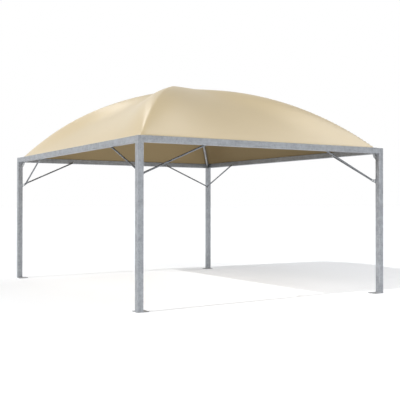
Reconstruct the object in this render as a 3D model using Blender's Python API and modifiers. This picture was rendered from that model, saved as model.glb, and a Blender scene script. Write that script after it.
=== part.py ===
"""Dome gazebo: a galvanised square tube frame on four posts, two crossing tube arches
and one membrane stretched over them down to the four beams.

Origin at the middle of the footprint on the ground, +X to the right, +Y to the back,
+Z up, in metres.
"""
import math

import bmesh
import bpy
import numpy as np
from mathutils import Matrix, Vector

# Driving dimensions of the frame
PLAN_WIDTH = 4.00
PLAN_DEPTH = 5.00
BEAM_TOP = 2.14
TUBE_SIZE = 0.08
TUBE_CORNER = 0.004
CONTACT_GAP = 0.0003

# Base plates and their anchor holes
PLATE_SIZE = 0.16
PLATE_THICK = 0.01
ANCHOR_HOLE_RADIUS = 0.007
ANCHOR_HOLE_SIDES = 12

# Arches and crown
ARCH_RISE = 1.032
ARCH_RADIUS = 0.025
ARCH_TO_MEMBRANE = 0.008
ARCH_FOOT_CLEARANCE = 0.042
CROWN_REACH = 0.15
CROWN_END_GAP = 0.0011
ROUND_TUBE_SIDES = 16

# Arch foot plates, measured inwards from the frame's inner corner and up from the ground
FOOT_PLATE_THICK = 0.008
FOOT_PLATE_LOW = 1.975
FOOT_PLATE_BEND = (0.024, 2.000)
FOOT_PLATE_BEAM = (0.040, 2.050)
FOOT_PLATE_REACH = 0.105
FOOT_PLATE_INSET = 0.0058

# Brace lugs
LUG_THICK = 0.008
LUG_ROOT_LOW = 1.622
LUG_ROOT_HIGH = 1.684
LUG_EYE = (0.040, 1.664)
LUG_EYE_RADIUS = 0.018

# Knee braces: round bars with flattened ends
BRACE_RADIUS = 0.0125
BRACE_REACH = 1.03
BRACE_BOLT_ABOVE_BEAM_BOTTOM = 0.022
BRACE_SIDES = 12
BRACE_MIDDLE_RINGS = 3
PADDLE_THICK = 0.005
PADDLE_HALF_WIDTH = 0.015
PADDLE_END = 0.014
PADDLE_NECK = 0.018
PADDLE_TAPER = 0.035
PADDLE_SQUARENESS = 8.0

# Membrane, its hem and the clamp bars on the hem
MEMBRANE_THICK = 0.004
MEMBRANE_CELLS = 16
MEMBRANE_RELAX_STEPS = 1500
FILM_SHARE = 0.80
EASE_SHARE = 1.15
EASE_WIDTH = 0.33
HEM_WIDTH = 0.036
CLAMP_WIDTH = 0.030
CLAMP_THICK = 0.004
CLAMP_INSET = 0.004

# Sizes worked out from the driving dimensions
BEAM_BOTTOM = BEAM_TOP - TUBE_SIZE
INNER_HALF_WIDTH = PLAN_WIDTH / 2 - TUBE_SIZE
INNER_HALF_DEPTH = PLAN_DEPTH / 2 - TUBE_SIZE
HALF_DIAGONAL = math.hypot(INNER_HALF_WIDTH, INNER_HALF_DEPTH)
HEM_TOP = BEAM_TOP + CONTACT_GAP + MEMBRANE_THICK
APEX = HEM_TOP + ARCH_RISE
RIDGE_RADIUS = (HALF_DIAGONAL ** 2 + ARCH_RISE ** 2) / (2 * ARCH_RISE)
ARC_CENTRE = APEX - RIDGE_RADIUS
ARCH_AXIS_RADIUS = RIDGE_RADIUS - MEMBRANE_THICK - ARCH_TO_MEMBRANE - ARCH_RADIUS
CORNER_SEAT = CONTACT_GAP - TUBE_CORNER * (math.sqrt(2) - 1)

SIDES_X = {"left": -1, "right": 1}
SIDES_Y = {"front": -1, "back": 1}
CORNERS = [(f"{y}_{x}", SIDES_X[x], SIDES_Y[y]) for y in SIDES_Y for x in SIDES_X]


def clear_scene():
    """Remove every object that the file opened with."""
    for item in list(bpy.data.objects):
        bpy.data.objects.remove(item, do_unlink=True)


def make_collection(name):
    """Return a new collection, linked to the scene."""
    collection = bpy.data.collections.new(name)
    bpy.context.scene.collection.children.link(collection)
    return collection


def make_material(name, colour, roughness, metallic):
    """Return a Principled material."""
    material = bpy.data.materials.new(name)
    material.use_nodes = True
    shader = material.node_tree.nodes["Principled BSDF"]
    shader.inputs["Base Color"].default_value = (*colour, 1.0)
    shader.inputs["Roughness"].default_value = roughness
    shader.inputs["Metallic"].default_value = metallic
    return material


def add_object(name, data, collection, material):
    """Link mesh or curve data to the scene under the sub-part's name."""
    data.name = name
    data.materials.append(material)
    item = bpy.data.objects.new(name, data)
    collection.objects.link(item)
    return item


def mesh_from(bm, name):
    """Turn a bmesh into mesh data."""
    mesh = bpy.data.meshes.new(name)
    bm.to_mesh(mesh)
    bm.free()
    return mesh


def box_mesh(name, size):
    """Return a box centred on its origin."""
    bm = bmesh.new()
    bmesh.ops.create_cube(bm, size=1.0)
    bmesh.ops.scale(bm, vec=size, verts=bm.verts)
    return mesh_from(bm, name)


def square_tube_mesh(name, length):
    """Return a square tube along Z with rounded long edges, centred on its origin."""
    bm = bmesh.new()
    bmesh.ops.create_cube(bm, size=1.0)
    bmesh.ops.scale(bm, vec=(TUBE_SIZE, TUBE_SIZE, length), verts=bm.verts)
    long_edges = [e for e in bm.edges if abs(e.verts[0].co.z - e.verts[1].co.z) > length / 2]
    bmesh.ops.bevel(bm, geom=long_edges, offset=TUBE_CORNER, segments=2, profile=0.5, affect="EDGES")
    return mesh_from(bm, name)


def place_at_corner(item, side_x, side_y):
    """Stand a flat outline in the diagonal plane: its X runs inwards, its Y runs up."""
    inwards = Vector((-side_x * INNER_HALF_WIDTH, -side_y * INNER_HALF_DEPTH, 0)) / HALF_DIAGONAL
    upwards = Vector((0, 0, 1))
    across = inwards.cross(upwards)
    turn = Matrix((inwards, upwards, across)).transposed()
    corner = Vector((side_x * INNER_HALF_WIDTH, side_y * INNER_HALF_DEPTH, 0))
    item.matrix_world = Matrix.Translation(corner) @ turn.to_4x4()


def outline_curve(name, points, thickness):
    """Return a flat outline filled on both sides, extruded to a plate."""
    curve = bpy.data.curves.new(name, "CURVE")
    curve.dimensions = "2D"
    curve.fill_mode = "BOTH"
    curve.extrude = thickness / 2
    spline = curve.splines.new("POLY")
    spline.points.add(len(points) - 1)
    for point, (x, y) in zip(spline.points, points):
        point.co = (x, y, 0, 1)
    spline.use_cyclic_u = True
    return curve


def curve_to_mesh(item):
    """Replace a curve object by a welded mesh object of the same name and place."""
    name = item.name
    graph = bpy.context.evaluated_depsgraph_get()
    mesh = bpy.data.meshes.new_from_object(item.evaluated_get(graph))
    bm = bmesh.new()
    bm.from_mesh(mesh)
    bmesh.ops.remove_doubles(bm, verts=bm.verts, dist=0.00001)
    bm.to_mesh(mesh)
    bm.free()
    collection = item.users_collection[0]
    matrix = item.matrix_world.copy()
    bpy.data.objects.remove(item, do_unlink=True)
    solid = bpy.data.objects.new(name, mesh)
    solid.matrix_world = matrix
    collection.objects.link(solid)
    return solid


def arc_point(radius, angle):
    """Return distance from the middle and height of a point on an arc over the diagonal."""
    return radius * math.sin(angle), ARC_CENTRE + radius * math.cos(angle)


def add_posts(collection, material):
    """Stand a square tube post on each base plate, its top level with the beams."""
    low = PLATE_THICK + CONTACT_GAP
    mesh = square_tube_mesh("post", BEAM_TOP - low)
    for corner, side_x, side_y in CORNERS:
        post = add_object(f"post_{corner}", mesh.copy(), collection, material)
        x = side_x * (PLAN_WIDTH - TUBE_SIZE) / 2
        y = side_y * (PLAN_DEPTH - TUBE_SIZE) / 2
        post.location = (x, y, (BEAM_TOP + low) / 2)


def add_beams(collection, material):
    """Lay the four beams between the posts, outer faces and tops flush."""
    across = square_tube_mesh("beam_across", 2 * (INNER_HALF_WIDTH - CONTACT_GAP))
    along = square_tube_mesh("beam_along", 2 * (INNER_HALF_DEPTH - CONTACT_GAP))
    height = BEAM_TOP - TUBE_SIZE / 2
    for name, side in SIDES_Y.items():
        beam = add_object(f"beam_{name}", across.copy(), collection, material)
        beam.location = (0, side * (PLAN_DEPTH - TUBE_SIZE) / 2, height)
        beam.rotation_euler = (0, math.radians(90), 0)
    for name, side in SIDES_X.items():
        beam = add_object(f"beam_{name}", along.copy(), collection, material)
        beam.location = (side * (PLAN_WIDTH - TUBE_SIZE) / 2, 0, height)
        beam.rotation_euler = (math.radians(90), 0, 0)


def add_base_plates(collection, cutters, material):
    """Lay a square plate under each post, flush with its outer faces, with three anchor holes."""
    free = (PLATE_SIZE + TUBE_SIZE) / 2
    under_post = TUBE_SIZE / 2
    hole_places = ((free, under_post), (under_post, free), (free, free))
    for corner, side_x, side_y in CORNERS:
        plate = add_object(f"base_plate_{corner}", box_mesh("plate", (PLATE_SIZE, PLATE_SIZE, PLATE_THICK)),
                           collection, material)
        x = side_x * (PLAN_WIDTH - PLATE_SIZE) / 2
        y = side_y * (PLAN_DEPTH - PLATE_SIZE) / 2
        plate.location = (x, y, PLATE_THICK / 2)
        for number, (from_side, from_end) in enumerate(hole_places):
            bm = bmesh.new()
            bmesh.ops.create_cone(bm, cap_ends=True, segments=ANCHOR_HOLE_SIDES, radius1=ANCHOR_HOLE_RADIUS,
                                  radius2=ANCHOR_HOLE_RADIUS, depth=3 * PLATE_THICK)
            cutter = bpy.data.objects.new(f"hole_{corner}_{number}", mesh_from(bm, "hole"))
            cutter.location = (side_x * (PLAN_WIDTH / 2 - from_side), side_y * (PLAN_DEPTH / 2 - from_end),
                               PLATE_THICK / 2)
            cutter.hide_render = True
            cutter.display_type = "WIRE"
            cutters.objects.link(cutter)
            cut = plate.modifiers.new(f"hole_{number}", "BOOLEAN")
            cut.operation = "DIFFERENCE"
            cut.object = cutter


def foot_angles():
    """Return the angles where the foot plate stops carrying the tube and where the tube ends."""
    reach = math.asin((HALF_DIAGONAL - FOOT_PLATE_REACH) / ARCH_AXIS_RADIUS)
    end = math.asin((HALF_DIAGONAL - ARCH_FOOT_CLEARANCE) / ARCH_AXIS_RADIUS)
    return reach, end


def add_half_arches(collection, material):
    """Run a round tube from the crown down to the frame's inner corner on each diagonal half."""
    start = math.asin((CROWN_REACH + CROWN_END_GAP) / ARCH_AXIS_RADIUS)
    reach, end = foot_angles()
    seams = [math.asin(step * HALF_DIAGONAL / MEMBRANE_CELLS / RIDGE_RADIUS) for step in range(1, MEMBRANE_CELLS)]
    angles = [start] + [angle for angle in seams if start < angle < reach] + [reach, end]
    for corner, side_x, side_y in CORNERS:
        curve = bpy.data.curves.new("half_arch", "CURVE")
        curve.dimensions = "3D"
        curve.bevel_depth = ARCH_RADIUS
        curve.bevel_resolution = ROUND_TUBE_SIDES // 2 - 2
        curve.use_fill_caps = True
        spline = curve.splines.new("POLY")
        spline.points.add(len(angles) - 1)
        for point, angle in zip(spline.points, angles):
            distance, height = arc_point(ARCH_AXIS_RADIUS, angle)
            share = distance / HALF_DIAGONAL
            point.co = (side_x * share * INNER_HALF_WIDTH, side_y * share * INNER_HALF_DEPTH, height, 1)
        add_object(f"half_arch_{corner}", curve, collection, material)


def add_crown(collection, cutters, material):
    """Join the four half-arches with a cross of two short tubes."""
    height = arc_point(ARCH_AXIS_RADIUS, math.asin(CROWN_REACH / ARCH_AXIS_RADIUS))[1]
    stubs = []
    for side in SIDES_X.values():
        bm = bmesh.new()
        bmesh.ops.create_cone(bm, cap_ends=True, segments=ROUND_TUBE_SIDES, radius1=ARCH_RADIUS,
                              radius2=ARCH_RADIUS, depth=2 * CROWN_REACH)
        stub = bpy.data.objects.new("crown_stub", mesh_from(bm, "crown_stub"))
        stub.location = (0, 0, height)
        heading = math.atan2(side * INNER_HALF_DEPTH, INNER_HALF_WIDTH)
        stub.rotation_euler = (0, math.radians(90), heading)
        stubs.append(stub)
    cross, other = stubs
    cross.name = "crown_cross"
    cross.data.materials.append(material)
    collection.objects.link(cross)
    other.hide_render = True
    other.display_type = "WIRE"
    cutters.objects.link(other)
    join = cross.modifiers.new("second_stub", "BOOLEAN")
    join.operation = "UNION"
    join.object = other


def foot_plate_outline():
    """Return the arch foot plate's outline: up the corner, along the tube, down the free edge."""
    under_tube = ARCH_AXIS_RADIUS - ARCH_RADIUS - CONTACT_GAP
    reach_angle, end_angle = foot_angles()
    reach_distance, reach_height = arc_point(under_tube, reach_angle)
    seat_distance, seat_height = arc_point(under_tube, end_angle)
    return [
        (CORNER_SEAT, FOOT_PLATE_LOW),
        FOOT_PLATE_BEND,
        FOOT_PLATE_BEAM,
        (HALF_DIAGONAL - reach_distance, reach_height),
        (HALF_DIAGONAL - seat_distance, seat_height),
        (FOOT_PLATE_INSET, seat_height),
        (FOOT_PLATE_INSET, BEAM_BOTTOM - 10 * CONTACT_GAP),
        (CORNER_SEAT, BEAM_BOTTOM - 10 * CONTACT_GAP),
    ]


def add_arch_foot_plates(collection, material):
    """Stand a plate under each arch foot, in the corner between post and beams."""
    for corner, side_x, side_y in CORNERS:
        curve = outline_curve("arch_foot_plate", foot_plate_outline(), FOOT_PLATE_THICK)
        plate = add_object(f"arch_foot_plate_{corner}", curve, collection, material)
        place_at_corner(plate, side_x, side_y)
        curve_to_mesh(plate)


def lug_outline():
    """Return the brace lug's outline: a plate with a round outer end."""
    eye_x, eye_z = LUG_EYE
    steps = [math.radians(angle) for angle in range(-75, 91, 15)]
    round_end = [(eye_x + LUG_EYE_RADIUS * math.cos(a), eye_z + LUG_EYE_RADIUS * math.sin(a)) for a in steps]
    return [(CORNER_SEAT, LUG_ROOT_LOW)] + round_end + [(CORNER_SEAT, LUG_ROOT_HIGH)]


def add_brace_lugs(collection, material):
    """Weld a lug to each post's inner corner edge."""
    for corner, side_x, side_y in CORNERS:
        lug = add_object(f"brace_lug_{corner}", outline_curve("brace_lug", lug_outline(), LUG_THICK),
                         collection, material)
        place_at_corner(lug, side_x, side_y)
        curve_to_mesh(lug)


def section_ring(centre, tangent, thin_way, half_width, half_thick, squareness):
    """Return the points of one cross-section, from a flat paddle to a round bar."""
    thin_way = (thin_way - tangent * thin_way.dot(tangent)).normalized()
    wide_way = tangent.cross(thin_way)
    ring = []
    for step in range(BRACE_SIDES):
        angle = 2 * math.pi * (step + 0.5) / BRACE_SIDES
        wide, thin = math.cos(angle), math.sin(angle)
        scale = (abs(wide) ** squareness + abs(thin) ** squareness) ** (-1 / squareness)
        ring.append(centre + wide_way * (half_width * wide * scale) + thin_way * (half_thick * thin * scale))
    return ring


def loft_mesh(name, rings):
    """Return a closed mesh through rings of equal point count."""
    bm = bmesh.new()
    rows = [[bm.verts.new(point) for point in ring] for ring in rings]
    for row, following in zip(rows, rows[1:]):
        for index, vert in enumerate(row):
            after = (index + 1) % len(row)
            bm.faces.new((vert, row[after], following[after], following[index]))
    bm.faces.new(rows[0])
    bm.faces.new(rows[-1])
    bmesh.ops.recalc_face_normals(bm, faces=bm.faces)
    return mesh_from(bm, name)


def brace_rings(lug_bolt, lug_side, beam_bolt, beam_side):
    """Return a brace's cross-sections: a flat bolted end, a round bar, a flat bolted end."""
    run = (beam_bolt - lug_bolt).normalized()
    lug_way = (run - lug_side * run.dot(lug_side)).normalized()
    beam_way = (run - beam_side * run.dot(beam_side)).normalized()
    lug_tip = lug_bolt - lug_way * PADDLE_END
    lug_neck = lug_bolt + lug_way * PADDLE_NECK
    round_low = lug_neck + (lug_way + run).normalized() * PADDLE_TAPER
    beam_tip = beam_bolt + beam_way * PADDLE_END
    beam_neck = beam_bolt - beam_way * PADDLE_NECK
    stand_off = BRACE_RADIUS + 3 * CONTACT_GAP - PADDLE_THICK / 2
    round_high = beam_neck - beam_way * PADDLE_TAPER + beam_side * stand_off
    bar_way = (round_high - round_low).normalized()
    flat = (PADDLE_HALF_WIDTH, PADDLE_THICK / 2, PADDLE_SQUARENESS)
    full = (BRACE_RADIUS, BRACE_RADIUS, 2.0)
    rings = [
        section_ring(lug_tip, lug_way, lug_side, *flat),
        section_ring(lug_neck, lug_way, lug_side, *flat),
    ]
    for step in range(BRACE_MIDDLE_RINGS + 2):
        share = step / (BRACE_MIDDLE_RINGS + 1)
        side = lug_side.lerp(beam_side, share)
        rings.append(section_ring(round_low.lerp(round_high, share), bar_way, side, *full))
    rings.append(section_ring(beam_neck, beam_way, beam_side, *flat))
    rings.append(section_ring(beam_tip, beam_way, beam_side, *flat))
    return rings


def add_braces(collection, material):
    """Run two knee braces from each lug up to the inner faces of the two beams."""
    slope_x = INNER_HALF_WIDTH / HALF_DIAGONAL
    slope_y = INNER_HALF_DEPTH / HALF_DIAGONAL
    lug_offset = LUG_THICK / 2 + CONTACT_GAP + PADDLE_THICK / 2
    face_offset = CONTACT_GAP + PADDLE_THICK / 2
    bolt_height = BEAM_BOTTOM + BRACE_BOLT_ABOVE_BEAM_BOTTOM
    for corner, side_x, side_y in CORNERS:
        eye = Vector((side_x * (INNER_HALF_WIDTH - slope_x * LUG_EYE[0]),
                      side_y * (INNER_HALF_DEPTH - slope_y * LUG_EYE[0]), LUG_EYE[1]))
        across_side = Vector((-side_x * slope_y, side_y * slope_x, 0))
        beam_bolt = Vector((side_x * (PLAN_WIDTH / 2 - BRACE_REACH), side_y * (INNER_HALF_DEPTH - face_offset),
                            bolt_height))
        rings = brace_rings(eye + across_side * lug_offset, across_side, beam_bolt, Vector((0, -side_y, 0)))
        add_object(f"brace_{corner}_across", loft_mesh("brace", rings), collection, material)
        along_side = -across_side
        beam_bolt = Vector((side_x * (INNER_HALF_WIDTH - face_offset), side_y * (PLAN_DEPTH / 2 - BRACE_REACH),
                            bolt_height))
        rings = brace_rings(eye + along_side * lug_offset, along_side, beam_bolt, Vector((-side_x, 0, 0)))
        add_object(f"brace_{corner}_along", loft_mesh("brace", rings), collection, material)


def stretched_film(vault, held):
    """Relax the vault to a stretched film, held along the arches and the outer edge."""
    heights = vault.copy()
    fixed = held[1:-1, 1:-1]
    pull_x = INNER_HALF_DEPTH ** 2
    pull_y = INNER_HALF_WIDTH ** 2
    for _ in range(MEMBRANE_RELAX_STEPS):
        mean_x = heights[2:, 1:-1] + heights[:-2, 1:-1]
        mean_y = heights[1:-1, 2:] + heights[1:-1, :-2]
        relaxed = (pull_x * mean_x + pull_y * mean_y) / (2 * (pull_x + pull_y))
        heights[1:-1, 1:-1] = np.where(fixed, heights[1:-1, 1:-1], relaxed)
    return heights


def membrane_heights():
    """Return the membrane's heights on its grid over the frame's inner rectangle.

    Between the arches the sheet lies near a stretched film, which sags below the straight
    vault. Beside each arch it is eased towards the ball on which both arches lie.
    """
    steps = np.linspace(-1.0, 1.0, 2 * MEMBRANE_CELLS + 1)
    across, along = np.meshgrid(steps, steps, indexing="ij")
    ring = np.maximum(abs(across), abs(along))
    vault = ARC_CENTRE + np.sqrt(RIDGE_RADIUS ** 2 - (ring * HALF_DIAGONAL) ** 2)
    film = stretched_film(vault, np.isclose(abs(across), abs(along)))
    x, y = across * INNER_HALF_WIDTH, along * INNER_HALF_DEPTH
    ball = ARC_CENTRE + np.sqrt(RIDGE_RADIUS ** 2 - x ** 2 - y ** 2)
    beside = abs(abs(x) * INNER_HALF_DEPTH - abs(y) * INNER_HALF_WIDTH) / HALF_DIAGONAL
    ease = EASE_SHARE * np.exp(-(beside / EASE_WIDTH) ** 2) * (1 - ring ** 4)
    return vault + FILM_SHARE * (film - vault) + ease * (ball - vault)


def split_along_diagonals(bm):
    """Cut each membrane cell into triangles along the line that runs with the nearer arch."""
    for face in list(bm.faces):
        centre = face.calc_center_median()
        lean = 1 if centre.x * centre.y > 0 else -1
        ordered = sorted(face.verts, key=lambda vert: vert.co.x + lean * vert.co.y)
        bmesh.utils.face_split(face, ordered[0], ordered[-1])


def add_membrane(collection, material):
    """Stretch one sheet over the arches, with a flat hem on the four beam tops."""
    heights = np.pad(membrane_heights(), 1, constant_values=HEM_TOP)
    steps = np.linspace(-1.0, 1.0, 2 * MEMBRANE_CELLS + 1)
    lines_x = np.concatenate(([-INNER_HALF_WIDTH - HEM_WIDTH], steps * INNER_HALF_WIDTH,
                              [INNER_HALF_WIDTH + HEM_WIDTH]))
    lines_y = np.concatenate(([-INNER_HALF_DEPTH - HEM_WIDTH], steps * INNER_HALF_DEPTH,
                              [INNER_HALF_DEPTH + HEM_WIDTH]))
    segments = len(lines_x) - 1
    bm = bmesh.new()
    bmesh.ops.create_grid(bm, x_segments=segments, y_segments=segments, size=1.0)
    for vert in bm.verts:
        column = round((vert.co.x + 1) / 2 * segments)
        row = round((vert.co.y + 1) / 2 * segments)
        vert.co = (lines_x[column], lines_y[row], heights[column, row])
    split_along_diagonals(bm)
    for face in bm.faces:
        face.smooth = True
    membrane = add_object("membrane", mesh_from(bm, "membrane"), collection, material)
    wall = membrane.modifiers.new("sheet_thickness", "SOLIDIFY")
    wall.thickness = MEMBRANE_THICK
    wall.offset = -1.0


def add_clamp_bars(collection, material):
    """Lay a flat bar on the membrane's hem along each beam top."""
    offset = CLAMP_INSET + CLAMP_WIDTH / 2
    height = HEM_TOP + CONTACT_GAP + CLAMP_THICK / 2
    length_x = 2 * (INNER_HALF_WIDTH - CLAMP_INSET)
    length_y = 2 * (INNER_HALF_DEPTH - CLAMP_INSET)
    for name, side in SIDES_Y.items():
        bar = add_object(f"clamp_bar_{name}", box_mesh("clamp_bar", (length_x, CLAMP_WIDTH, CLAMP_THICK)),
                         collection, material)
        bar.location = (0, side * (INNER_HALF_DEPTH + offset), height)
    for name, side in SIDES_X.items():
        bar = add_object(f"clamp_bar_{name}", box_mesh("clamp_bar", (CLAMP_WIDTH, length_y, CLAMP_THICK)),
                         collection, material)
        bar.location = (side * (INNER_HALF_WIDTH + offset), 0, height)


def main():
    """Build the gazebo from the ground up."""
    clear_scene()
    parts = make_collection("dome_gazebo")
    cutters = make_collection("cutters")
    zinc_tube = make_material("zinc_tube", (0.42, 0.43, 0.44), 0.55, 0.7)
    zinc_plate = make_material("zinc_plate", (0.38, 0.39, 0.40), 0.60, 0.7)
    zinc_bar = make_material("zinc_bar", (0.50, 0.51, 0.52), 0.45, 0.8)
    sheet = make_material("coated_sheet", (0.66, 0.56, 0.40), 0.45, 0.0)
    add_base_plates(parts, cutters, zinc_plate)
    add_posts(parts, zinc_tube)
    add_beams(parts, zinc_tube)
    add_arch_foot_plates(parts, zinc_plate)
    add_brace_lugs(parts, zinc_plate)
    add_braces(parts, zinc_bar)
    add_half_arches(parts, zinc_tube)
    add_crown(parts, cutters, zinc_tube)
    add_membrane(parts, sheet)
    add_clamp_bars(parts, zinc_bar)


main()
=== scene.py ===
"""Dome gazebo: finishes, fasteners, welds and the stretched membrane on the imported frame.

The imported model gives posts, beams, plates, lugs, crown and clamp bars, which keep their
shapes and get a galvanised finish. This file makes the membrane, round arch tubes, knee
braces, bolts, screws, collars and weld beads, the floor, the light and the camera.
Everything is in metres: origin at the middle of the footprint on the ground, +X to the
right, +Y to the back, +Z up.
"""

import logging
import math
from dataclasses import dataclass, field
from enum import Enum
from typing import Any, Callable

import bmesh
import bpy
import numpy as np
from mathutils import Euler, Matrix, Vector


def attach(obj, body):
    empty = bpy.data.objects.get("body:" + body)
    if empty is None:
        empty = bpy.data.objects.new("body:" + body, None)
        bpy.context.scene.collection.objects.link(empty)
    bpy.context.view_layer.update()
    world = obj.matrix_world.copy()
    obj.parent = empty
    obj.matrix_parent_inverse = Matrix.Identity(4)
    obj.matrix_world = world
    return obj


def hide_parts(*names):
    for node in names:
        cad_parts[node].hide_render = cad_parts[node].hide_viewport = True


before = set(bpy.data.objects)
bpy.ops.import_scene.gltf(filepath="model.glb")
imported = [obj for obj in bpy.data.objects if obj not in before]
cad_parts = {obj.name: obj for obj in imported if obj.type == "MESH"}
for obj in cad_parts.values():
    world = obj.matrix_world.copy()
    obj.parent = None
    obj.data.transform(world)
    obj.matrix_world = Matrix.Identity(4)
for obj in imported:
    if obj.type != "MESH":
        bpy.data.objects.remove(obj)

LOG = logging.getLogger("dome_gazebo")
BODY = "root"

Triple = tuple[float, float, float]
Colour = Triple
Material = bpy.types.Material
Piece = bpy.types.Object
Socket = bpy.types.NodeSocket
Span = tuple[float, float]
Wires = dict[Any, Any]

UP = Vector((0, 0, 1))
NO_SHARP_EDGES = 180.0
HEXAGON = 6

# Zinc: each cloudy pattern's scale against the blotches, its octaves and its share, then the
# shares of grain and rolling marks, and the marks to the metre across the tube and along it
ZINC_CLOUDS = ((1.0, 3.0, 0.34), (0.32, 2.0, 0.24), (0.06, 1.0, 0.14))
ZINC_GRAIN_SHARE = 0.16
ZINC_MARK_SHARE = 0.12
ZINC_MARKS = (60.0, 1.4)
ZINC_MARK_OCTAVES = 2.0
ZINC_GRAIN_RELIEF = 0.4
ZINC_RAMP = (0.36, 0.50, 0.64)
ZINC_ROUGH_SPREAD = 0.08
ZINC_BUMP_STRENGTH = 0.5

# Fabric: scale, octaves and share of the clouds and of the flecks, and how far they show
FABRIC_PATTERNS = ((1.1, 2.0, 0.7), (160.0, 2.0, 0.3))
FABRIC_RAMP = (0.30, 0.70)
FABRIC_SPREAD = 0.03
FABRIC_BUMP_STRENGTH = 0.35
WAVE_SCALE_FOR_ONE_METRE = 0.314


class Run(Enum):
    """The way a tube lies, which the rolling marks in its zinc follow."""

    UPRIGHT = "upright"
    ACROSS = "across"
    ALONG = "along"


class Slot(Enum):
    """Names of material slots; they are passed along but nothing here reads them."""

    TUBE = "zinc_tube"
    PLATE = "zinc_plate"
    ARCH = "arch_tube"
    BRACE = "brace_bar"
    CLAMP = "clamp_bar"
    FABRIC = "coated_fabric"


@dataclass(frozen=True)
class Corner:
    """One corner of the frame.

    Attributes:
        name: the corner's part of the node names.
        side_x: -1 on the left, 1 on the right.
        side_y: -1 at the front, 1 at the back.
    """

    name: str
    side_x: int
    side_y: int


CORNERS = (
    Corner("front_left", -1, -1),
    Corner("front_right", 1, -1),
    Corner("back_left", -1, 1),
    Corner("back_right", 1, 1),
)


@dataclass(frozen=True)
class FrameSizes:
    """The frame's own sizes, the same as those of the solids."""

    plan_width: float = 4.00
    plan_depth: float = 5.00
    beam_top: float = 2.14
    tube: float = 0.08
    gap: float = 0.0003
    plate_thick: float = 0.01
    arch_rise: float = 1.032
    arch_radius: float = 0.025
    arch_to_sheet: float = 0.008
    arch_foot_clearance: float = 0.042
    crown_reach: float = 0.15
    crown_end_gap: float = 0.0011
    sheet_space: float = 0.004
    hem_width: float = 0.036
    clamp_width: float = 0.030
    clamp_thick: float = 0.004
    clamp_inset: float = 0.004
    lug_thick: float = 0.008

    @property
    def beam_bottom(self) -> float:
        """Height of the beams' undersides."""
        return self.beam_top - self.tube

    @property
    def half_x(self) -> float:
        """Half the clear width between the beams."""
        return self.plan_width / 2 - self.tube

    @property
    def half_y(self) -> float:
        """Half the clear depth between the beams."""
        return self.plan_depth / 2 - self.tube

    @property
    def half_diagonal(self) -> float:
        """Half the diagonal of the clear opening."""
        return math.hypot(self.half_x, self.half_y)

    @property
    def hem_top(self) -> float:
        """Height of the membrane's flat hem."""
        return self.beam_top + self.gap + self.sheet_space

    @property
    def ridge_radius(self) -> float:
        """Radius of the arc that the membrane's ridges follow."""
        return (self.half_diagonal ** 2 + self.arch_rise ** 2) / (2 * self.arch_rise)

    @property
    def arc_centre(self) -> float:
        """Height of the middle of that arc."""
        return self.hem_top + self.arch_rise - self.ridge_radius

    @property
    def arch_axis_radius(self) -> float:
        """Radius of the arch tubes' centre line."""
        return self.ridge_radius - self.sheet_space - self.arch_to_sheet - self.arch_radius

    def inwards(self, corner: Corner) -> Vector:
        """Return the level direction from a corner to the middle."""
        return Vector((-corner.side_x * self.half_x, -corner.side_y * self.half_y, 0)).normalized()

    def inner_edge(self, corner: Corner, height: float) -> Vector:
        """Return a point on the edge where the frame's inner faces meet."""
        return Vector((corner.side_x * self.half_x, corner.side_y * self.half_y, height))

    def on_arch(self, corner: Corner, distance: float, radius: float) -> Vector:
        """Return a point over a diagonal.

        Args:
            corner: the corner that the diagonal ends at.
            distance: how far from the middle, seen from above.
            radius: radius of the arc that the point lies on.

        Returns:
            The point.
        """
        height = self.arc_centre + math.sqrt(radius ** 2 - distance ** 2)
        plan = -self.inwards(corner) * distance
        return Vector((plan.x, plan.y, height))


SIZES = FrameSizes()


def sideways_of(way: Vector) -> Vector:
    """Return the level direction square to another, on its left."""
    return Vector((-way.y, way.x, 0))


def eased(share: float) -> float:
    """Return a share that starts and stops gently."""
    return share * share * (3 - 2 * share)


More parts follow.
